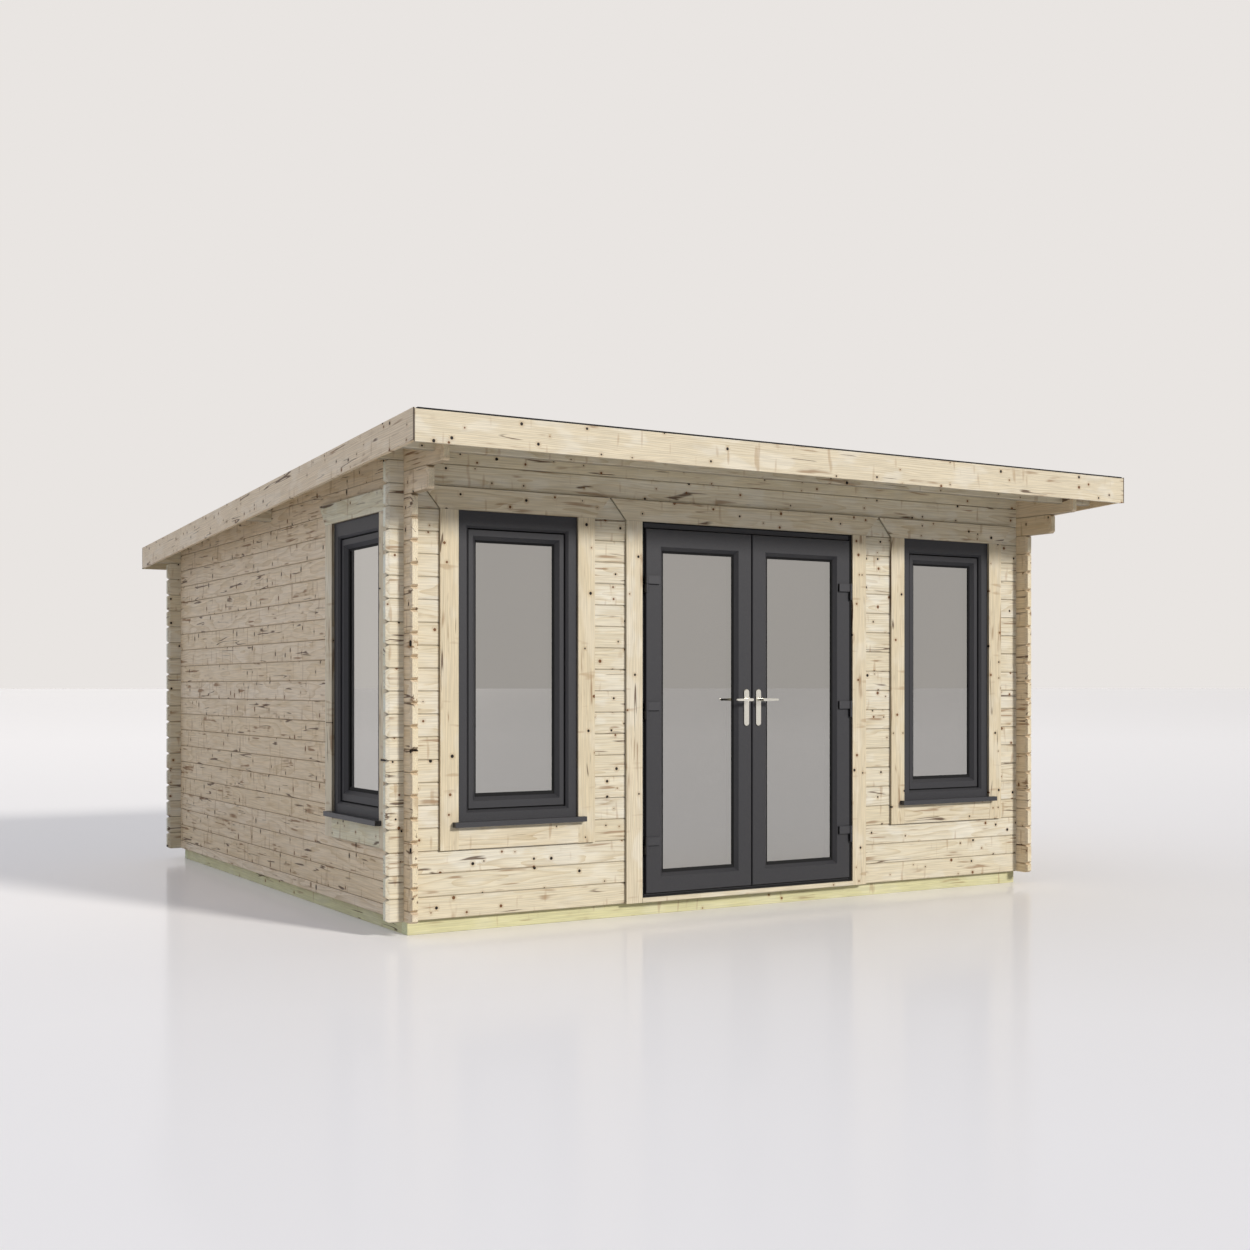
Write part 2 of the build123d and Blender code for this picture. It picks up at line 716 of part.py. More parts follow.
with BuildPart() as window_head_trim:
    with BuildSketch(Plane.XZ):
        Polygon(
            (-trim_outside, HEAD_LEVEL),
            (trim_outside, HEAD_LEVEL),
            (trim_outside + HEAD_SPREAD, HEAD_LEVEL + LOG_PITCH),
            (-trim_outside - HEAD_SPREAD, HEAD_LEVEL + LOG_PITCH),
            align=None,
        )
    extrude(amount=TRIM_THICKNESS)

with BuildPart() as window_frames:
    with Locations(*WINDOWS):
        add(window_frame.part)
window_frames.part.label = "window_frames"
export_step(window_frames.part, "parts/window_frames.step")

with BuildPart() as window_sashes:
    with Locations(*WINDOWS):
        add(window_sash.part)
window_sashes.part.label = "window_sashes"
export_step(window_sashes.part, "parts/window_sashes.step")

with BuildPart() as window_panes:
    with Locations(*WINDOWS):
        add(window_pane.part)
window_panes.part.label = "window_panes"
export_step(window_panes.part, "parts/window_panes.step")

with BuildPart() as window_sills:
    with Locations(*WINDOWS):
        add(window_sill.part)
window_sills.part.label = "window_sills"
export_step(window_sills.part, "parts/window_sills.step")

with BuildPart() as window_side_trims:
    with Locations(*WINDOWS):
        add(window_side_trim.part)
window_side_trims.part.label = "window_side_trims"
export_step(window_side_trims.part, "parts/window_side_trims.step")

with BuildPart() as window_foot_trims:
    with Locations(*WINDOWS):
        add(window_foot_trim.part)
window_foot_trims.part.label = "window_foot_trims"
export_step(window_foot_trims.part, "parts/window_foot_trims.step")

with BuildPart() as window_head_trims:
    with Locations(*WINDOWS):
        add(window_head_trim.part)
window_head_trims.part.label = "window_head_trims"
export_step(window_head_trims.part, "parts/window_head_trims.step")

# Doorway: timber sill, outer frame with a stop behind the leaves, and trims
DOOR_FACE = Plane.XZ.offset(-FRONT)
sill_top = course(0) + TIMBER_SILL_HEIGHT
leaf_edge = DOOR_HALF - JAMB - LEAF_GAP
leaf_foot = sill_top + THRESHOLD + LEAF_GAP
leaf_head = HEAD_LEVEL - DOOR_HEAD - LEAF_GAP
opening_half = DOOR_HALF - JAMB
door_trim_inside = DOOR_HALF - TRIM_LAP
door_trim_outside = door_trim_inside + TRIM_WIDTH

with BuildPart() as timber_door_sill:
    with BuildSketch(Plane.XY.offset(course(0))):
        Polygon(
            (-door_trim_inside, FRONT - TIMBER_SILL_NOSE),
            (door_trim_inside, FRONT - TIMBER_SILL_NOSE),
            (door_trim_inside, FRONT),
            (DOOR_HALF, FRONT),
            (DOOR_HALF, FRONT + LOG_THICKNESS),
            (-DOOR_HALF, FRONT + LOG_THICKNESS),
            (-DOOR_HALF, FRONT),
            (-door_trim_inside, FRONT),
            align=None,
        )
    extrude(amount=TIMBER_SILL_HEIGHT)
timber_door_sill.part.label = "timber_door_sill"
export_step(timber_door_sill.part, "parts/timber_door_sill.step")

with BuildPart() as door_frame:
    with BuildSketch(DOOR_FACE):
        face(-DOOR_HALF, DOOR_HALF, sill_top, HEAD_LEVEL)
    extrude(amount=-FRAME_DEPTH)
    with BuildSketch(DOOR_FACE):
        face(-opening_half, opening_half, sill_top + THRESHOLD, HEAD_LEVEL - DOOR_HEAD)
    extrude(amount=-STOP_FROM_FACE, mode=Mode.SUBTRACT)
    with BuildSketch(DOOR_FACE.offset(-STOP_FROM_FACE)):
        face(
            STOP_WIDTH - opening_half,
            opening_half - STOP_WIDTH,
            sill_top + THRESHOLD + STOP_WIDTH,
            HEAD_LEVEL - DOOR_HEAD - STOP_WIDTH,
        )
    extrude(amount=STOP_FROM_FACE - FRAME_DEPTH, mode=Mode.SUBTRACT)
door_frame.part.label = "door_frame"
export_step(door_frame.part, "parts/door_frame.step")

with BuildPart() as door_side_trims:
    with BuildSketch(DOOR_FACE):
        face(door_trim_inside, door_trim_outside, course(0), HEAD_LEVEL)
    extrude(amount=TRIM_THICKNESS)
    mirror(about=Plane.YZ)
door_side_trims.part.label = "door_side_trims"
export_step(door_side_trims.part, "parts/door_side_trims.step")

with BuildPart() as door_head_trim:
    with BuildSketch(DOOR_FACE):
        Polygon(
            (-door_trim_outside, HEAD_LEVEL),
            (door_trim_outside, HEAD_LEVEL),
            (door_trim_outside + HEAD_SPREAD, HEAD_LEVEL + LOG_PITCH),
            (-door_trim_outside - HEAD_SPREAD, HEAD_LEVEL + LOG_PITCH),
            align=None,
        )
    extrude(amount=TRIM_THICKNESS)
door_head_trim.part.label = "door_head_trim"
export_step(door_head_trim.part, "parts/door_head_trim.step")

# Door leaves: the right one is drawn and mirrored. The rear half of the meeting edge is
# set back, so that the corners pass each other when a leaf swings out.
LEAF_FACE = Plane.XZ.offset(-FRONT + LEAF_PROUD)
meeting = MEETING_GAP / 2
pane_low = meeting + STILE_MEETING
pane_high = leaf_edge - STILE_OUTER

with BuildPart() as right_door_leaf:
    with BuildSketch(LEAF_FACE):
        face(meeting, leaf_edge, leaf_foot, leaf_head)
    extrude(amount=-LEAF_THICKNESS)
    with BuildSketch(LEAF_FACE.offset(-LEAF_THICKNESS / 2)):
        face(meeting, meeting + MEETING_REBATE, leaf_foot, leaf_head)
    extrude(amount=-LEAF_THICKNESS / 2, mode=Mode.SUBTRACT)
    with BuildSketch(LEAF_FACE):
        face(pane_low, pane_high, LEAF_PANE_BOTTOM, LEAF_PANE_TOP)
    extrude(amount=-LEAF_THICKNESS, mode=Mode.SUBTRACT)
    front_face = right_door_leaf.faces().sort_by(Axis.Y)[0]
    chamfer(front_face.inner_wires()[0].edges(), length=BEAD_BEVEL)
    front_face = right_door_leaf.faces().sort_by(Axis.Y)[0]
    chamfer(front_face.outer_wire().edges(), length=LEAF_EDGE_BEVEL)
    with BuildSketch(LEAF_FACE):
        with Locations((HANDLE_OFFSET, LEVER_HEIGHT)):
            Circle(NECK_RADIUS + NECK_CLEARANCE)
    extrude(amount=-LEAF_THICKNESS, mode=Mode.SUBTRACT)
right_door_leaf.part.label = "right_door_leaf"
export_step(right_door_leaf.part, "parts/right_door_leaf.step")

with BuildPart() as left_door_leaf:
    add(right_door_leaf.part)
    mirror(about=Plane.YZ, mode=Mode.REPLACE)
left_door_leaf.part.label = "left_door_leaf"
export_step(left_door_leaf.part, "parts/left_door_leaf.step")

with BuildPart() as right_door_pane:
    with BuildSketch(LEAF_FACE.offset(-LEAF_PANE_RECESS)):
        face(pane_low, pane_high, LEAF_PANE_BOTTOM, LEAF_PANE_TOP)
    extrude(amount=-LEAF_PANE_THICKNESS)
right_door_pane.part.label = "right_door_pane"
export_step(right_door_pane.part, "parts/right_door_pane.step")

with BuildPart() as left_door_pane:
    add(right_door_pane.part)
    mirror(about=Plane.YZ, mode=Mode.REPLACE)
left_door_pane.part.label = "left_door_pane"
export_step(left_door_pane.part, "parts/left_door_pane.step")

# Hinges: the upper half of each barrel and a flag on the leaf, the lower half on the frame
hinge_x = leaf_edge + HINGE_AXIS_PAST_LEAF
hinge_y = FRONT - HINGE_AXIS_PROUD
leaf_front = FRONT - LEAF_PROUD
flag_back = leaf_front - HINGE_FLAG_THICKNESS

with BuildPart() as right_leaf_hinges:
    for height in HINGE_HEIGHTS:
        with BuildSketch(Plane.XY.offset(height + BARREL_GAP / 2)):
            with Locations((hinge_x, hinge_y)):
                Circle(BARREL_RADIUS)
        extrude(amount=BARREL_HALF)
        with BuildSketch(Plane.XY.offset(height + BARREL_GAP / 2)):
            Polygon(
                (hinge_x, hinge_y),
                (hinge_x, leaf_front),
                (hinge_x - HINGE_FLAG_LENGTH, leaf_front),
                (hinge_x - HINGE_FLAG_LENGTH, flag_back),
                (hinge_x - BARREL_RADIUS, flag_back),
                align=None,
            )
        extrude(amount=HINGE_FLAG_HEIGHT)
right_leaf_hinges.part.label = "right_leaf_hinges"
export_step(right_leaf_hinges.part, "parts/right_leaf_hinges.step")

with BuildPart() as left_leaf_hinges:
    add(right_leaf_hinges.part)
    mirror(about=Plane.YZ, mode=Mode.REPLACE)
left_leaf_hinges.part.label = "left_leaf_hinges"
export_step(left_leaf_hinges.part, "parts/left_leaf_hinges.step")

with BuildPart() as frame_hinges:
    for height in HINGE_HEIGHTS:
        with BuildSketch(Plane.XY.offset(height - BARREL_GAP / 2)):
            with Locations((hinge_x, hinge_y)):
                Circle(BARREL_RADIUS)
        extrude(amount=-BARREL_HALF)
        with BuildSketch(Plane.XY.offset(height - BARREL_GAP / 2)):
            Polygon(
                (hinge_x + BARREL_RADIUS - HINGE_STEM_WIDTH / 2, hinge_y),
                (hinge_x + BARREL_RADIUS, hinge_y),
                (hinge_x + BARREL_RADIUS + HINGE_STEM_WIDTH / 2, FRONT),
                (hinge_x + BARREL_RADIUS - HINGE_STEM_WIDTH / 2, FRONT),
                align=None,
            )
        extrude(amount=-BARREL_HALF)
    mirror(about=Plane.YZ)
frame_hinges.part.label = "frame_hinges"
export_step(frame_hinges.part, "parts/frame_hinges.step")

# Handles: a rounded plate on each side of the leaf, and one lever piece through both. Each
# grip is drawn in plan and in elevation, and tapers both ways towards its tip.
PLATE_FRONTS = [LEAF_FACE.offset(PLATE_THICKNESS), LEAF_FACE.offset(-LEAF_THICKNESS)]
with BuildPart() as right_handle_plates:
    for plane in PLATE_FRONTS:
        with BuildSketch(plane):
            with Locations((HANDLE_OFFSET, PLATE_CENTRE)):
                SlotOverall(PLATE_HEIGHT, PLATE_WIDTH, rotation=90)
        extrude(amount=-PLATE_THICKNESS)
    along_leaf = right_handle_plates.faces().sort_by(Axis.Y)
    chamfer([*along_leaf[0].edges(), *along_leaf[-1].edges()], length=PLATE_BEVEL)
    with BuildSketch(LEAF_FACE.offset(PLATE_THICKNESS)):
        with Locations((HANDLE_OFFSET, LEVER_HEIGHT)):
            Circle(NECK_RADIUS + NECK_CLEARANCE)
    extrude(amount=-2 * PLATE_THICKNESS - LEAF_THICKNESS, mode=Mode.SUBTRACT)
right_handle_plates.part.label = "right_handle_plates"
export_step(right_handle_plates.part, "parts/right_handle_plates.step")

with BuildPart() as left_handle_plates:
    add(right_handle_plates.part)
    mirror(about=Plane.YZ, mode=Mode.REPLACE)
left_handle_plates.part.label = "left_handle_plates"
export_step(left_handle_plates.part, "parts/left_handle_plates.step")

leaf_middle = leaf_front + LEAF_THICKNESS / 2
neck_reach = LEAF_THICKNESS / 2 + PLATE_THICKNESS + LEVER_STANDOFF
grip_start = HANDLE_OFFSET - LEVER_TALL / 2
grip_end = HANDLE_OFFSET + LEVER_LENGTH
grip_face = neck_reach + LEVER_DEPTH
grip_top = LEVER_HEIGHT + LEVER_TALL / 2
grip_foot = LEVER_HEIGHT - LEVER_TALL / 2
tip_centre = grip_end - LEVER_TIP_TALL / 2
tip_top = LEVER_HEIGHT + LEVER_TIP_TALL / 2
tip_foot = LEVER_HEIGHT - LEVER_TIP_TALL / 2

with BuildPart() as outer_grip:
    with BuildSketch(Plane.XY.offset(grip_foot)):
        Polygon(
            (grip_start, leaf_middle - neck_reach),
            (grip_end, leaf_middle - neck_reach),
            (grip_end, leaf_middle - neck_reach - LEVER_TIP_DEPTH),
            (HANDLE_OFFSET + NECK_RADIUS, leaf_middle - grip_face),
            (grip_start, leaf_middle - grip_face),
            align=None,
        )
    extrude(amount=LEVER_TALL)
    with BuildSketch(Plane.XZ.offset(neck_reach - leaf_middle)):
        with BuildLine():
            Line((tip_centre, tip_top), (HANDLE_OFFSET, grip_top))
            ThreePointArc(
                (HANDLE_OFFSET, grip_top), (grip_start, LEVER_HEIGHT), (HANDLE_OFFSET, grip_foot)
            )
            Line((HANDLE_OFFSET, grip_foot), (tip_centre, tip_foot))
            ThreePointArc((tip_centre, tip_foot), (grip_end, LEVER_HEIGHT), (tip_centre, tip_top))
        make_face()
    extrude(amount=LEVER_DEPTH, mode=Mode.INTERSECT)

with BuildPart() as right_lever:
    with BuildSketch(Plane.XZ.offset(neck_reach - leaf_middle)):
        with Locations((HANDLE_OFFSET, LEVER_HEIGHT)):
            Circle(NECK_RADIUS)
    extrude(amount=-2 * neck_reach)
    add(outer_grip.part)
    mirror(objects=[outer_grip.part], about=Plane.XZ.offset(-leaf_middle))
right_lever.part.label = "right_lever"
export_step(right_lever.part, "parts/right_lever.step")

with BuildPart() as left_lever:
    add(right_lever.part)
    mirror(about=Plane.YZ, mode=Mode.REPLACE)
left_lever.part.label = "left_lever"
export_step(left_lever.part, "parts/left_lever.step")
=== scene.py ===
"""Looks of the garden office pod: spruce logs, anthracite frames, glass, and the studio.

Metres, +Z up, doors facing -Y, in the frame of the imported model. Wood, glass and metal are
drawn from object coordinates, so that every log and board has its own grain and knots.
"""

import math

import bpy
import numpy as np
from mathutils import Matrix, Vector


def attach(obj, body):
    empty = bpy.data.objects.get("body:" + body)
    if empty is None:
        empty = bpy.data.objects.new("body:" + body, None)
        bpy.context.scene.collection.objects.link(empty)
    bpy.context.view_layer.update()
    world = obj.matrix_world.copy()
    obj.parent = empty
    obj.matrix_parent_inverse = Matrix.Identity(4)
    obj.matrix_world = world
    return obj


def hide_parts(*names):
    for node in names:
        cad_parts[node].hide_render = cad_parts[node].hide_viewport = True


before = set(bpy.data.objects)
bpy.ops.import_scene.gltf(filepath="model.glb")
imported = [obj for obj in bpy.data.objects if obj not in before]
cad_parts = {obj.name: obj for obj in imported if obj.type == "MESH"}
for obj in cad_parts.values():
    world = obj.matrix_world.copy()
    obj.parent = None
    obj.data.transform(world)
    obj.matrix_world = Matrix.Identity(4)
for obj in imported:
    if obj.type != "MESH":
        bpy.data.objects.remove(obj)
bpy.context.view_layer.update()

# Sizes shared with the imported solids
PITCH = 0.114
FIRST_JOINT = 0.073
FRONT = -1.862
SIDE = 2.095
WINDOW_OFFSET = 1.461
SIDE_WINDOW = FRONT + 0.628
SLOPE = 0.252 / 4.990
ROOF_FRONT = -2.495
BOARDS_UNDERSIDE = 2.474
ROOF_BOARD = 0.019
FASCIA = 0.020
FASCIA_INSIDE = 2.292
FASCIA_OUTSIDE = FASCIA_INSIDE + FASCIA
FLOOR_LEVEL = 0.073
FLOOR_BOARD = 0.019
ROOM_SIDE = 2.051
ROOM_FRONT = -1.818
ROOM_BACK = 2.260

# Whatever lies further out than this along X belongs to a side wall
PAST_SIDE = 2.09


def linear(code):
    """An sRGB hex colour as the linear RGBA that nodes take."""
    parts = [int(code[k : k + 2], 16) / 255 for k in (1, 3, 5)]
    return [c / 12.92 if c <= 0.04045 else ((c + 0.055) / 1.055) ** 2.4 for c in parts] + [1.0]


def add(tree, kind, inputs=(), out=0, **settings):
    """Adds a node with its settings, and sets or links its inputs. Gives back one output, or
    all of them where out is None."""
    made = tree.nodes.new("ShaderNode" + kind)
    for key, value in settings.items():
        setattr(made, key, value)
    for key, value in dict(inputs).items():
        if isinstance(value, bpy.types.NodeSocket):
            tree.links.new(value, made.inputs[key])
        else:
            made.inputs[key].default_value = value
    return made.outputs if out is None else made.outputs[out]


def material(name):
    """An empty material, its node tree and its output node's surface socket."""
    made = bpy.data.materials.new(name)
    made.use_nodes = True
    made.node_tree.nodes.clear()
    target = made.node_tree.nodes.new("ShaderNodeOutputMaterial")
    return made, made.node_tree, target.inputs["Surface"]


def on_side_wall(tree, x):
    """1 where x lies past the faces of the side walls, and 0 between them."""
    outer = add(tree, "Math", {0: x}, operation="ABSOLUTE")
    return add(tree, "Math", {0: outer, 1: PAST_SIDE}, operation="GREATER_THAN")


def turned_away(tree, x=0.0):
    """1 on faces that look along the wall, up or down, and 0 on faces that look out of it: the
    mask of the shade painted on edges. A front or back wall looks along Y, and a side wall along
    X."""
    facing = add(tree, "SeparateXYZ", {0: add(tree, "TexCoord", out="Normal")}, out=None)
    side = on_side_wall(tree, x)
    outward = add(tree, "Mix", {"Factor": side, 2: facing[1], 3: facing[0]})
    outward = add(tree, "Math", {0: outward}, operation="ABSOLUTE")
    return add(tree, "MapRange", {"Value": outward, "From Min": 0.6, "From Max": 0.4})


# For fibres along each axis: the axes along a board, across it and through it
GRAIN = {"x": (0, 2, 1), "y": (1, 2, 0), "z": (2, 0, 1)}
# Real spruce has rings 1 to 4 mm apart. They are drawn wider, so that they show
RING_WIDTH = 0.009
KNOT_CELL = 0.09

# The wood's figure: repeats in a metre along the fibres and across them, and the noise's
# detail. All of it is drawn coarser than in real wood, so that it shows
FIGURE = (
    (1.1, 7, 2.0),  # how the rings bend: 0.9 m long and 140 mm wide
    (6, 150, 3.0),  # fibres: 170 mm long and 7 mm wide
    (4.2, 9, 2.0),  # pale sap clouds and redder hearts: 240 mm long and 110 mm wide
    (3.2, 55, 2.0),  # red-brown streaks: 310 mm long and 18 mm wide
    (1.7, 30, 1.0),  # dry cracks: 590 mm long and 33 mm apart
    (3.3, 21, 0.0),  # the patches that have cracks: 300 mm long and 48 mm wide
    (26, 5, 1.0),  # whorls across the board: 38 mm wide and 200 mm long
)


def timber(
    name,
    grain,
    cell,
    start,
    tones,
    depth_cell=0.5,
    side_swap=False,
    fall=0.0,
    seam=0.0,
    ends=0.0,
    squeeze=1.0,
    rough=1.0,
    clear=0.58,
    resin="#160D08",
    edges=0.0,
):
    """Planed softwood. grain is the axis that the fibres follow.

    A board is a cell of the given height across the grain, counted from start. Each has a
    random number that shifts its figure along the grain and puts its pith elsewhere. Growth
    rings are the distance from the pith, warped along the grain and round the knots.
    side_swap turns the pieces on the side walls, and fall tilts the boards that follow the
    roof. seam darkens the joints between cells, and ends the mitres at that distance from the
    middle. edges is painted shade: it darkens every face that doesn't look out of the wall.
    squeeze draws the knots out across the grain, rough gives more cracks, whorls and streaks,
    clear is the share without knots, and resin is the colour of a dead knot.
    """
    light, late, pale, warm = [linear(tone) for tone in tones]
    made, tree, surface = material(name)
    place = add(tree, "TexCoord", out="Object")
    x, y, z = add(tree, "SeparateXYZ", {0: place}, out=None)
    true_x = x
    if side_swap:
        turned = add(tree, "CombineXYZ", {0: y, 1: x, 2: z})
        swapped = {"Factor": on_side_wall(tree, x), 4: place, 5: turned}
        place = add(tree, "Mix", swapped, out=1, data_type="VECTOR")
        x, y, z = add(tree, "SeparateXYZ", {0: place}, out=None)
    if fall:
        z = add(tree, "Math", {0: y, 1: fall, 2: z}, operation="MULTIPLY_ADD")
    axes = (x, y, z)
    along, across, deep = [axes[k] for k in GRAIN[grain]]
    place = add(tree, "CombineXYZ", {0: along, 1: across, 2: deep})
    raised = add(tree, "VectorMath", {0: place, 1: (0, start, 0)}, operation="SUBTRACT")
    board = add(tree, "VectorMath", {0: raised, 1: (0, cell, depth_cell)}, operation="SNAP")
    chance = add(tree, "TexWhiteNoise", {"Vector": board}, out="Color", noise_dimensions="3D")
    tint = add(tree, "SeparateColor", {0: chance}, out=None)
    inside = add(tree, "VectorMath", {0: raised, 1: board}, operation="SUBTRACT")
    # Each board's own place in the noise, up to 9 m away from its neighbour's
    own = {0: chance, 1: (9.1, 5.3, 3.7), 2: inside}
    own = add(tree, "VectorMath", own, operation="MULTIPLY_ADD")
    figures = []
    for length, width, detail in FIGURE:
        drawn = {0: own, 1: (length, width, width)}
        drawn = add(tree, "VectorMath", drawn, operation="MULTIPLY")
        drawn = add(tree, "TexNoise", {"Vector": drawn, "Scale": 1.0, "Detail": detail})
        figures.append(drawn)
    warp, fibre, cloud, vein, drying, patch, whorl = figures

    # Knots: two cells in five hold one, 6 to 18 mm wide. Distances from it are in mm
    flat = add(tree, "VectorMath", {0: own, 1: (1, squeeze, 0)}, operation="MULTIPLY")
    cells = add(tree, "VectorMath", {0: flat, "Scale": 1 / KNOT_CELL}, operation="SCALE")
    knots = {"Vector": cells, "Scale": 1.0}
    knots = add(tree, "TexVoronoi", knots, out=None, voronoi_dimensions="2D")
    far = {0: knots["Distance"], 1: 1000 * KNOT_CELL}
    far = add(tree, "Math", far, operation="MULTIPLY")
    pick = add(tree, "SeparateColor", {0: knots["Color"]}, out=None)
    size = {"Value": pick[0], "From Min": clear, "To Min": 2.8, "To Max": 9.0}
    edge = add(tree, "Math", {0: far, 1: add(tree, "MapRange", size)}, operation="SUBTRACT")
    kept = add(tree, "Math", {0: pick[0], 1: clear}, operation="GREATER_THAN")
    knot = {"Value": edge, "From Min": 1.0, "From Max": -0.8, "To Max": kept}
    knot = add(tree, "MapRange", knot, interpolation_type="SMOOTHSTEP")
    halo = {"Value": edge, "From Min": 16.0, "From Max": 0.0, "To Max": kept}
    halo = add(tree, "MapRange", halo, interpolation_type="SMOOTHSTEP")
    # Two knots in five are live ones, red-brown where the dead ones are black
    live = add(tree, "Math", {0: pick[1], 1: 0.6}, operation="GREATER_THAN")
    live = add(tree, "Math", {0: live, 1: knot}, operation="MULTIPLY")

    # Growth rings round a pith up to 0.2 m away, bent round each knot, dark at their rim
    pith = {0: chance, 1: (0, -0.12, -0.16), 2: inside}
    pith = add(tree, "VectorMath", pith, operation="MULTIPLY_ADD")
    pith = add(tree, "VectorMath", {0: pith, 1: (0, 1, 1)}, operation="MULTIPLY")
    pith = add(tree, "VectorMath", {0: pith}, out="Value", operation="LENGTH")
    bent = add(tree, "Math", {0: warp, 1: 0.07, 2: pith}, operation="MULTIPLY_ADD")
    bent = add(tree, "Math", {0: halo, 1: 0.008, 2: bent}, operation="MULTIPLY_ADD")
    ring = add(tree, "Math", {0: bent, 1: 1 / RING_WIDTH}, operation="MULTIPLY")
    ring = add(tree, "Math", {0: ring}, operation="FRACT")
    ring = add(tree, "Math", {0: ring, 1: 3.0}, operation="POWER")

    # Pale sap clouds, and streaks where the heart is redder
    whiter = {"Value": cloud, "From Min": 0.52, "From Max": 0.62, "To Max": 0.7 - 0.25 * rough}
    whiter = add(tree, "MapRange", whiter, interpolation_type="SMOOTHSTEP")
    redder = {"Value": cloud, "From Min": 0.46, "From Max": 0.34, "To Max": 1.0}
    redder = add(tree, "MapRange", redder, interpolation_type="SMOOTHSTEP")
    vein = {"Value": vein, "From Min": 0.54, "From Max": 0.64, "To Max": redder}
    vein = add(tree, "MapRange", vein, interpolation_type="SMOOTHSTEP")
    # A crack is where its noise crosses the middle, drawn 3 mm wide so that it shows
    drying = add(tree, "Math", {0: drying, 1: 0.5}, operation="SUBTRACT")
    drying = add(tree, "Math", {0: drying}, operation="ABSOLUTE")
    reach = 0.24 + 0.035 * rough
    gate = {"Value": patch, "From Min": reach + 0.02, "From Max": reach - 0.02, "To Max": 1.0}
    gate = add(tree, "MapRange", gate)
    crack = {"Value": drying, "From Min": 0.035, "From Max": 0.015, "To Max": gate}
    crack = add(tree, "MapRange", crack)
    band = 0.68 - 0.02 * rough
    whorl = {"Value": whorl, "From Min": band, "From Max": band + 0.08, "To Max": 0.5}
    whorl = add(tree, "MapRange", whorl)

    colour = add(tree, "Math", {0: ring, 1: 0.6}, operation="MULTIPLY")
    colour = add(tree, "Mix", {"Factor": colour, 6: light, 7: late}, out=2, data_type="RGBA")
    colour = add(tree, "Mix", {"Factor": whiter, 6: colour, 7: pale}, out=2, data_type="RGBA")
    tinge = add(tree, "Math", {0: tint[2], 1: 0.5}, operation="MULTIPLY")
    colour = add(tree, "Mix", {"Factor": tinge, 6: colour, 7: warm}, out=2, data_type="RGBA")
    thread = {"Value": fibre, "From Min": 0.38, "From Max": 0.64, "To Min": 0.90, "To Max": 1.06}
    thread = add(tree, "MapRange", thread)
    colour = add(tree, "VectorMath", {0: colour, "Scale": thread}, operation="SCALE")
    # Sawn ends are paler and less red than the planed sides
    facing = add(tree, "TexCoord", out="Normal")
    facing = {0: facing, 1: [float(axis == grain) for axis in "xyz"]}
    facing = add(tree, "VectorMath", facing, out="Value", operation="DOT_PRODUCT")
    facing = add(tree, "Math", {0: facing}, operation="ABSOLUTE")
    sawn = add(tree, "MapRange", {"Value": facing, "From Min": 0.55, "From Max": 0.8})
    fresh = add(tree, "VectorMath", {0: colour, 1: (1.03, 1.10, 1.13)}, operation="MULTIPLY")
    colour = add(tree, "Mix", {"Factor": sawn, 6: colour, 7: fresh}, out=2, data_type="RGBA")
    marks = [
        (vein, 0.45 + 0.2 * rough, "#8A6644"),
        (whorl, 0.9, "#A58662"),
        (halo, 0.28, "#A5804F"),
        (crack, 0.85, "#4E3423"),
        (knot, 1.0, resin),
        (live, 0.8, "#7A5233"),
    ]
    if seam:
        level = {0: inside, 1: (0, 1, 0)}
        level = add(tree, "VectorMath", level, out="Value", operation="DOT_PRODUCT")
        level = add(tree, "Math", {0: level, 1: cell / 2}, operation="PINGPONG")
        joint = add(tree, "MapRange", {"Value": level, "From Min": 0.0035, "From Max": 0.0008})
        marks.append((joint, seam, "#54432F"))
    if ends:
        level = add(tree, "Math", {0: along}, operation="ABSOLUTE")
        mitre = {"Value": level, "From Min": ends - 0.009, "From Max": ends - 0.005}
        marks.append((add(tree, "MapRange", mitre), 0.9, "#3A2C20"))
    # Painted shade: faces that look along the wall, up or down, are darkened, as on the edges of
    # trims
    if edges:
        marks.append((turned_away(tree, true_x), edges, "#3F3022"))
    for mask, strength, tone in marks:
        amount = add(tree, "Math", {0: mask, 1: strength}, operation="MULTIPLY")
        mark = {"Factor": amount, 6: colour, 7: linear(tone)}
        colour = add(tree, "Mix", mark, out=2, data_type="RGBA")
    relief = add(tree, "Math", {0: ring, 1: -0.4, 2: fibre}, operation="MULTIPLY_ADD")
    relief = add(tree, "Math", {0: crack, 1: -2.0, 2: relief}, operation="MULTIPLY_ADD")
    bump = add(tree, "Bump", {"Strength": 0.25, "Distance": 0.0006, "Height": relief})
    inputs = {"Base Color": colour, "Roughness": 0.62, "Specular IOR Level": 0.25, "Normal": bump}
    tree.links.new(add(tree, "BsdfPrincipled", inputs), surface)
    return made


# Untreated spruce, planed: cream early wood, honey late wood, near-white sap clouds, and the
# warm tone that some boards take
SPRUCE = ("#E0D8C3", "#BFAB85", "#E8E5D9", "#D5C6A2")
# Trims and fascias are a little yellower. The side walls' logs are a little redder: a tint painted
# in for the warm light on the side wall in shade
TRIM_SPRUCE = ("#DDD2B9", "#BCA67D", "#E5DFCF", "#D2C099")
SIDE_SPRUCE = ("#E5D3B7", "#C3A87C", "#EDE1CC", "#DAC298")
# Pressure-treated pine: the salts leave it yellow with a green cast, and its knots brown
TREATED = ("#DBD7AE", "#C6BD8A", "#E1DDBE", "#CEC99A")
TREATED_KNOT = "#7E6130"
# Height and start of a cell that takes in the whole of a timber, whichever way it lies
WHOLE = (5.0, -1.0)
WHOLE_BOARD = (2.0, -1.0)

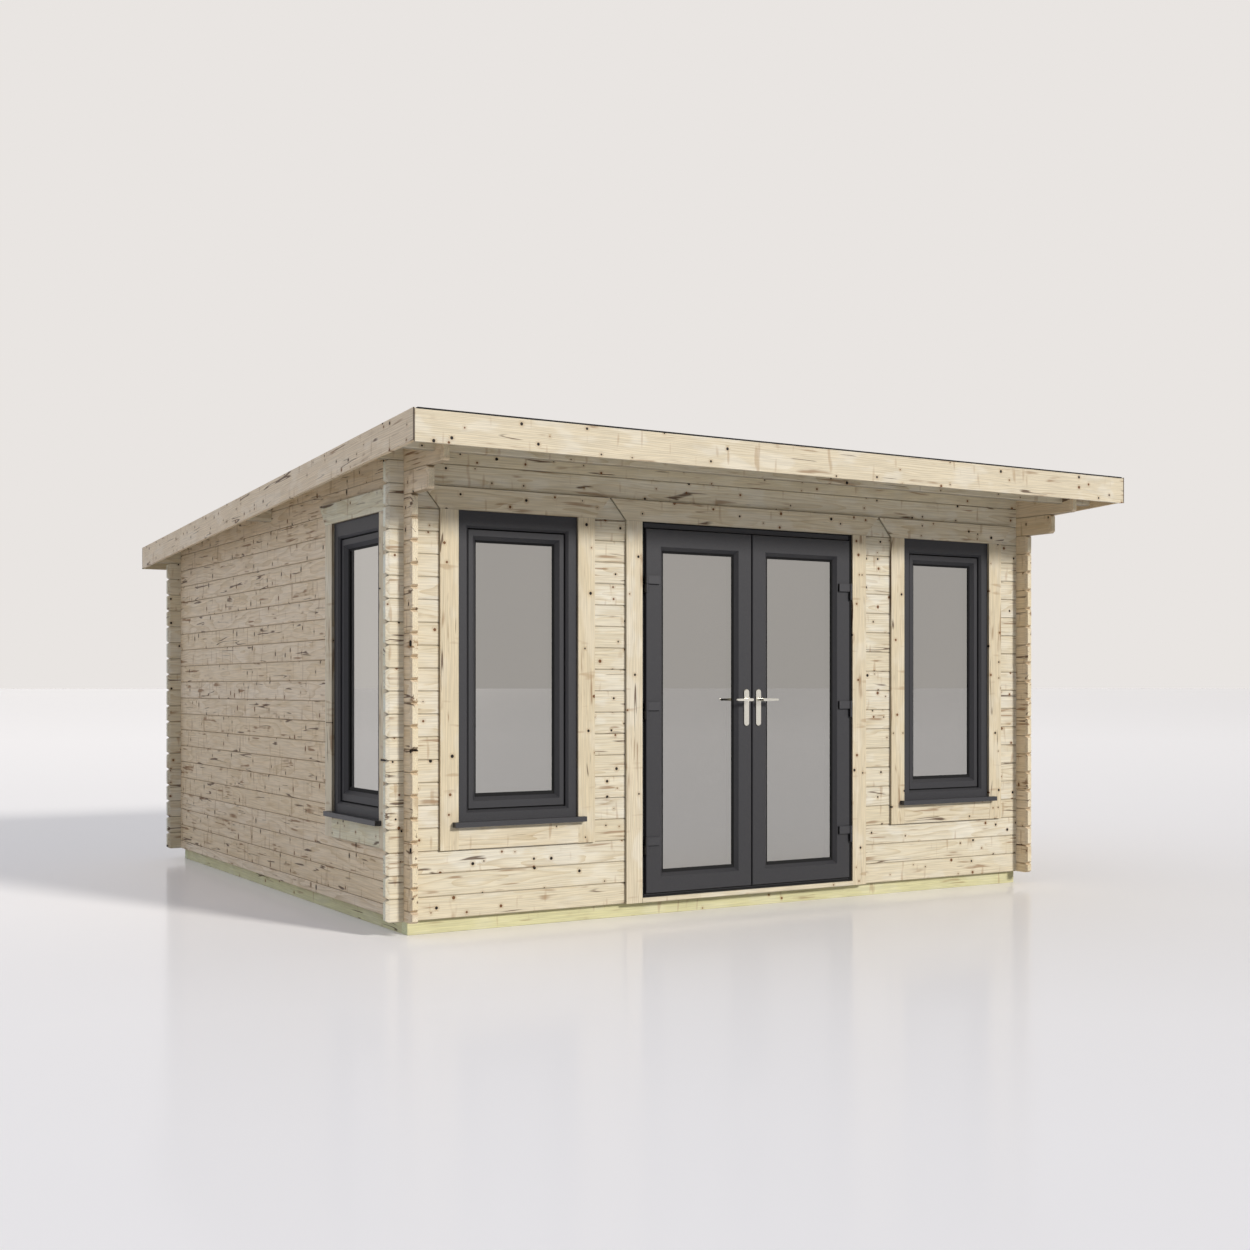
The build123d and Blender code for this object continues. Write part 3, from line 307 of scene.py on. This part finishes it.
spruce_x = timber("planed_spruce_along_x", "x", PITCH, FIRST_JOINT, SPRUCE, seam=0.5)
spruce_y = timber(
    "planed_spruce_along_y",
    "y",
    PITCH,
    FIRST_JOINT - PITCH / 2,
    SIDE_SPRUCE,
    seam=0.5,
    squeeze=0.55,
    rough=2.0,
)
# Head, foot and upright trims take painted shade on their faces that look along the wall
spruce_trim = timber(
    "planed_spruce_head_and_foot",
    "x",
    PITCH,
    FIRST_JOINT,
    TRIM_SPRUCE,
    depth_cell=0.3,
    side_swap=True,
    seam=0.4,
    edges=0.65,
)
spruce_upright = timber(
    "planed_spruce_upright", "z", 0.4, 0.2, TRIM_SPRUCE, depth_cell=0.4, edges=0.5
)
spruce_fascia = timber(
    "planed_spruce_fascia", "x", *WHOLE, TRIM_SPRUCE, depth_cell=1.0, ends=FASCIA_OUTSIDE
)
spruce_verge = timber(
    "planed_spruce_side_fascia",
    "y",
    *WHOLE,
    SIDE_SPRUCE,
    depth_cell=1.0,
    fall=SLOPE,
    ends=-ROOF_FRONT,
    rough=1.5,
)
pine_x = timber(
    "treated_pine_along_x",
    "x",
    *WHOLE,
    TREATED,
    depth_cell=1.0,
    rough=0.2,
    clear=0.9,
    resin=TREATED_KNOT,
)
pine_y = timber(
    "treated_pine_along_y",
    "y",
    *WHOLE,
    TREATED,
    depth_cell=0.3,
    rough=0.5,
    clear=0.85,
    resin=TREATED_KNOT,
)


def speckled(name, tone, dark, grit, roughness, height, edges=0.0, **values):
    """A material of one colour with a fine grain: noise of the given size in metres mixes
    tone towards dark and raises the surface by height. edges paints shade: it blackens the
    rims of thin flat pieces, where little light comes."""
    made, tree, surface = material(name)
    place = add(tree, "TexCoord", out="Object")
    noise = add(tree, "TexNoise", {"Vector": place, "Scale": 1 / grit, "Detail": 4.0})
    blend = add(tree, "MapRange", {"Value": noise, "From Min": 0.3, "From Max": 0.7})
    colour = {"Factor": blend, 6: linear(dark), 7: linear(tone)}
    colour = add(tree, "Mix", colour, out=2, data_type="RGBA")
    # Painted shade: the rims that look along the wall are blackened
    if edges:
        painted_rim_shade = add(tree, "Math", {0: turned_away(tree), 1: edges}, operation="MULTIPLY")
        colour = {"Factor": painted_rim_shade, 6: colour, 7: linear("#070708")}
        colour = add(tree, "Mix", colour, out=2, data_type="RGBA")
    bump = add(tree, "Bump", {"Strength": 0.3, "Distance": height, "Height": noise})
    inputs = {"Base Color": colour, "Roughness": roughness, "Normal": bump, **values}
    tree.links.new(add(tree, "BsdfPrincipled", inputs), surface)
    return made


# Foiled plastic profile: a dull satin grey with a fine pressed grain. The grain of the foil
# and of the coats is drawn 2 to 4 mm wide, several times the real one, so that it shows
foil_gloss = {"Specular IOR Level": 0.35}
foil = speckled(
    "anthracite_foiled_plastic", "#353538", "#2C2C2F", 0.004, 0.5, 0.0001, **foil_gloss
)
# Powder-coated metal: slightly darker, and smoother than the foil
coat = ("#343438", "#2B2B2E", 0.002, 0.4, 0.0001)
coated = speckled("anthracite_powder_coat", *coat)
# The same coat on the hinges, with painted shade that makes their rims nearly black
hinge_coat_with_painted_shade = speckled("anthracite_hinge_coat_with_painted_shade", *coat, edges=0.85)
# Rubber is dull. Vulcanised sheet is near black, with paler dusty patches 160 mm wide, and
# slightly wrinkled. An extruded seal is blacker. The seals also stand for the shade in the
# gaps of the frames, painted black, so that every joint of the frames is a dark line
dull = {"Specular IOR Level": 0.2}
rubber = speckled("black_rubber_sheet", "#1F1F20", "#0A0A0B", 0.16, 0.7, 0.003, **dull)
seal_and_painted_shade = speckled("black_rubber_seal_and_painted_shade", "#0D0D0E", "#080809", 0.004, 0.7, 0.0001, **dull)
# Satin stainless steel: pale warm metal with soft highlights
steel = speckled("satin_stainless_steel", "#E6E4DA", "#D2CFC4", 0.001, 0.25, 0.00002, Metallic=1.0)


def glazing(name):
    """Solar-control float glass: its coating mirrors the pale surroundings, greyed, and hides
    most of the room. The coat's tint drifts very slightly over the pane."""
    made, tree, surface = material(name)
    place = add(tree, "TexCoord", out="Object")
    drift = add(tree, "TexNoise", {"Vector": place, "Scale": 1.3, "Detail": 1.0})
    colour = {"Factor": drift, 6: linear("#C4C2BE"), 7: linear("#BEBDB9")}
    colour = add(tree, "Mix", colour, out=2, data_type="RGBA")
    inputs = {"Base Color": colour, "Metallic": 1.0, "Roughness": 0.0, "Alpha": 0.86}
    tree.links.new(add(tree, "BsdfPrincipled", inputs), surface)
    return made


glass = glazing("coated_float_glass")

# The side walls' logs run along Y, and every node that isn't named here is spruce along X
FINISH = {
    "left_wall_even_logs": spruce_y,
    "left_wall_odd_logs": spruce_y,
    "right_wall_even_logs": spruce_y,
    "right_wall_odd_logs": spruce_y,
    "front_and_back_bearers": pine_x,
    "side_bearers": pine_y,
    "floor_joists": pine_y,
    "roof_membrane": rubber,
    "front_fascia": spruce_fascia,
    "back_fascia": spruce_fascia,
    "side_fascias": spruce_verge,
    "window_frames": foil,
    "window_sashes": foil,
    "window_panes": glass,
    "window_sills": coated,
    "window_side_trims": spruce_upright,
    "window_foot_trims": spruce_trim,
    "window_head_trims": spruce_trim,
    "door_frame": foil,
    "door_side_trims": spruce_upright,
    "door_head_trim": spruce_trim,
    "frame_hinges": hinge_coat_with_painted_shade,
    "right_door_leaf": foil,
    "left_door_leaf": foil,
    "right_door_pane": glass,
    "left_door_pane": glass,
    "right_leaf_hinges": hinge_coat_with_painted_shade,
    "left_leaf_hinges": hinge_coat_with_painted_shade,
    "right_handle_plates": steel,
    "left_handle_plates": steel,
    "right_lever": steel,
    "left_lever": steel,
}
for name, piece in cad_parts.items():
    piece.data.materials.clear()
    piece.data.materials.append(FINISH.get(name, spruce_x))


def piece_of(name, points, faces, finish, body, replaced=()):
    """One new mesh at the origin, riding on a body and standing for the nodes it replaces."""
    mesh = bpy.data.meshes.new(name)
    mesh.from_pydata(points.reshape(-1, 3).tolist(), [], faces)
    mesh.materials.append(finish)
    made = bpy.data.objects.new(name, mesh)
    bpy.context.scene.collection.objects.link(made)
    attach(made, body)
    if replaced:
        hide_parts(*replaced)
    return made


def boards(low, high, count, gap, profile, place):
    """A row of like boards between low and high.

    Each board is a closed profile, given as (share of its width, height), carried from one
    end of the board to the other. place turns arrays of (across, height, end 0 or 1) into
    points. Returns the points and the faces.
    """
    width = (high - low) / count
    share, height = np.array(profile).T
    across = low + width * np.arange(count)[:, None] + gap / 2 + share * (width - gap)
    across = np.repeat(across[:, None, :], 2, axis=1)
    heights = np.broadcast_to(height, across.shape)
    ends = np.broadcast_to(np.array([0.0, 1.0])[None, :, None], across.shape)
    points = place(across, heights, ends)
    n = len(profile)
    faces = []
    for k in range(count):
        near, far = 2 * n * k, 2 * n * k + n
        faces += [(near + i, near + (i + 1) % n, far + (i + 1) % n, far + i) for i in range(n)]
        faces += [tuple(range(near + n - 1, near - 1, -1)), tuple(range(far, far + n))]
    return points, faces


# Roof boards, 95 mm wide, run down the fall with a V joint on their underside
ROOF_BOARDS = 48
V_SHARE = 0.05
V_DEPTH = 0.005
roof_profile = [
    (0, ROOF_BOARD),
    (0, V_DEPTH),
    (V_SHARE, 0),
    (1 - V_SHARE, 0),
    (1, V_DEPTH),
    (1, ROOF_BOARD),
]


def down_the_fall(across, height, end):
    """x is across, y runs from fascia to fascia, and z falls with y."""
    y = (ROOF_FRONT + FASCIA) * (1 - end) + (-ROOF_FRONT - FASCIA) * end
    z = BOARDS_UNDERSIDE - SLOPE * (y - ROOF_FRONT) + height
    return np.stack([across, y, z], axis=-1)


points, faces = boards(
    -FASCIA_INSIDE, FASCIA_INSIDE, ROOF_BOARDS, 0.0006, roof_profile, down_the_fall
)
board_y = timber(
    "planed_spruce_roof_boards",
    "y",
    *WHOLE_BOARD,
    SPRUCE,
    depth_cell=2 * FASCIA_INSIDE / ROOF_BOARDS,
)
piece_of("roof_boarding", points, faces, board_y, "cabin", ["roof_boards"])

# Floor boards, 113 mm wide, run across the joists, with their top edges eased
FLOOR_BOARDS = 36
EASED_SHARE = 0.012
EASED = FLOOR_BOARD - 0.002
floor_profile = [
    (0, EASED),
    (0, 0),
    (1, 0),
    (1, EASED),
    (1 - EASED_SHARE, FLOOR_BOARD),
    (EASED_SHARE, FLOOR_BOARD),
]


def over_the_joists(across, height, end):
    """y is across, and x runs from side wall to side wall."""
    x = ROOM_SIDE * (2 * end - 1)
    return np.stack([x, -across, FLOOR_LEVEL + height], axis=-1)


points, faces = boards(
    -ROOM_BACK, -ROOM_FRONT, FLOOR_BOARDS, 0.0008, floor_profile, over_the_joists
)
floor_x = timber(
    "planed_spruce_floor_boards",
    "x",
    *WHOLE_BOARD,
    SPRUCE,
    depth_cell=(ROOM_BACK - ROOM_FRONT) / FLOOR_BOARDS,
)
piece_of("floor_boarding", points, faces, floor_x, "cabin", ["floor_boards"])

# Black seals, each as its outer edges (left, foot, right, head), the widths of those four
# sides, and its front and back. The first two are in the plane of a window's wall. The glass
# and pane seals are gaskets whose wider foot and head are painted shade, and the sash ring is
# a seal that also stands for the shade in the deep gap round the sash
SEALS_AND_PAINTED_SHADE = {
    "glass": ((-0.2305, 0.6735, 0.2305, 1.9825), (0.009, 0.019, 0.009, 0.012), 0.040, 0.050),
    "sash": ((-0.2825, 0.6095, 0.2825, 2.0405), (0.009, 0.009, 0.009, 0.009), 0.024, 0.0395),
}
# Painted shade: the jamb ring is a black strip in the gap between the door trims and the leaves,
# where shade falls
JAMB_PAINTED_SHADE = ((-0.7225, 0.0985, 0.7225, 2.1255), (0.019, 0.012, 0.019, 0.006), -0.006, 0.001)
LEAF_SEAL_AND_PAINTED_SHADE = ((0.1115, 0.2255, 0.5865, 1.9745), (0.009, 0.018, 0.009, 0.013), 0.003, 0.014)


def ring(edges, widths, near, far):
    """A mitred ring of seal, like a picture frame, in the plane y = 0 of its wall.

    The section is a wedge: full depth at the outer edge and two thirds of it at the inner
    edge, carried round the four corners. Returns points (4 corners, 4 of the section, 3).
    """
    left, foot, right, head = edges
    w_left, w_foot, w_right, w_head = widths
    outer = np.array([(left, foot), (right, foot), (right, head), (left, head)])
    inward = [(w_left, w_foot), (-w_right, w_foot), (-w_right, -w_head), (w_left, -w_head)]
    lip = near + (far - near) / 3
    share = np.array([0.0, 0.0, 1.0, 1.0])
    depth = np.array([far, near, lip, far])
    flat = outer[:, None, :] + np.array(inward)[:, None, :] * share[None, :, None]
    deep = np.broadcast_to(depth, (4, 4))
    return np.stack([flat[..., 0], deep, flat[..., 1]], axis=-1)


def ring_faces(count):
    """Faces of that many rings, each joining every corner's section to the next one's."""
    steps = ((0, 1), (1, 2), (2, 3), (3, 0))
    return [
        (16 * k + 4 * c + s, 16 * k + 4 * d + s, 16 * k + 4 * d + t, 16 * k + 4 * c + t)
        for k in range(count)
        for c, d in steps
        for s, t in steps
    ]


def in_four_walls(points):
    """The same points in each of the four walls that have a window, as (4, ...) arrays."""
    x, y, z = points[..., 0], points[..., 1], points[..., 2]
    return np.stack(
        [
            np.stack([x - WINDOW_OFFSET, y + FRONT, z], axis=-1),
            np.stack([x + WINDOW_OFFSET, y + FRONT, z], axis=-1),
            np.stack([y - SIDE, SIDE_WINDOW - x, z], axis=-1),
            np.stack([SIDE - y, SIDE_WINDOW + x, z], axis=-1),
        ]
    )


for name, seal in SEALS_AND_PAINTED_SHADE.items():
    points = in_four_walls(ring(*seal))
    piece_of(f"window_{name}_seals", points, ring_faces(4), seal_and_painted_shade, "cabin")

around_doors = ring(*JAMB_PAINTED_SHADE) + (0, FRONT, 0)
piece_of("door_jamb_painted_shade", around_doors, ring_faces(1), seal_and_painted_shade, "cabin")
right_seal = ring(*LEAF_SEAL_AND_PAINTED_SHADE) + (0, FRONT, 0)
piece_of("right_door_seal", right_seal, ring_faces(1), seal_and_painted_shade, "right_door")
# Mirrored, with its corners in reverse order, so that its faces still point outwards
left_seal = right_seal[::-1] * (-1, 1, 1)
piece_of("left_door_seal", left_seal, ring_faces(1), seal_and_painted_shade, "left_door")

# The studio: a pale floor that runs to the horizon, a low key light from the right of the
# front, and a sky that is brighter towards a pole behind the left wall
R = 1500
corners = [(-R, -R, -0.001), (R, -R, -0.001), (R, R, -0.001), (-R, R, -0.001)]
floor_mesh = bpy.data.meshes.new("studio_floor")
floor_mesh.from_pydata(corners, [], [(0, 1, 2, 3)])
floor = bpy.data.objects.new("studio_floor", floor_mesh)
bpy.context.scene.collection.objects.link(floor)
sheen, tree, surface = material("lacquered_studio_floor")
bounced = add(tree, "LightPath", out="Is Diffuse Ray")
colour = {"Factor": bounced, 6: linear("#FFFCF8"), 7: linear("#E0E0E0")}
colour = add(tree, "Mix", colour, out=2, data_type="RGBA")
inputs = {"Base Color": colour, "Roughness": 0.13, "IOR": 1.06}
tree.links.new(add(tree, "BsdfPrincipled", inputs), surface)
floor_mesh.materials.append(sheen)

world = bpy.data.worlds.new("studio")
world.use_nodes = True
tree = world.node_tree
tree.nodes.clear()
way = add(tree, "TexCoord", out="Generated")
pole = Vector((-0.66, 0.64, 0.40)).normalized()
lean = add(tree, "VectorMath", {0: way, 1: pole}, out="Value", operation="DOT_PRODUCT")
level = {"Value": lean, "From Min": -0.6, "From Max": 1.0, "To Min": 0.0, "To Max": 0.93}
level = add(tree, "MapRange", level)
mirrored = {"Value": lean, "From Min": -0.45, "From Max": 0.4, "To Min": 0.86, "To Max": 1.12}
mirrored = add(tree, "MapRange", mirrored)
rays = add(tree, "LightPath", out=None)
seen = {0: rays["Is Glossy Ray"], 1: rays["Is Transmission Ray"]}
seen = add(tree, "Math", seen, operation="MAXIMUM")
backdrop = add(tree, "Background", {"Color": linear("#E9E5E2"), "Strength": 1.0})
mirror = add(tree, "Background", {"Color": linear("#E9E5E2"), "Strength": mirrored})
sky = add(tree, "Background", {"Color": linear("#EAEFFF"), "Strength": level})
mixed = add(tree, "MixShader", {0: seen, 1: sky, 2: mirror})
mixed = add(tree, "MixShader", {0: rays["Is Camera Ray"], 1: mixed, 2: backdrop})
target = tree.nodes.new("ShaderNodeOutputWorld")
tree.links.new(mixed, target.inputs["Surface"])
bpy.context.scene.world = world

sun = bpy.data.lights.new("key", "SUN")
sun.energy = 2.7
sun.angle = math.radians(9)
sun.color = (1.0, 0.97, 0.94)
key = bpy.data.objects.new("key", sun)
aside, up = math.radians(21.5), math.radians(25.5)
toward = Vector((math.sin(aside) * math.cos(up), -math.cos(aside) * math.cos(up), math.sin(up)))
key.rotation_euler = toward.to_track_quat("Z", "Y").to_euler()
bpy.context.scene.collection.objects.link(key)

# Camera: level, two-point perspective, with the horizon below the middle of the picture.
# Its place and lens come from the solved perspective
lens = bpy.data.cameras.new("camera")
lens.sensor_width = 36.0
lens.lens = 44.663
lens.shift_y = 0.04995
lens.clip_start = 0.1
lens.clip_end = 5000.0
camera = bpy.data.objects.new("camera", lens)
camera.location = (-5.0819, -8.9946, 1.2315)
camera.rotation_euler = (math.radians(90), 0, math.radians(-30.8456))
bpy.context.scene.collection.objects.link(camera)
bpy.context.scene.camera = camera

bpy.context.scene.view_settings.view_transform = "Standard"
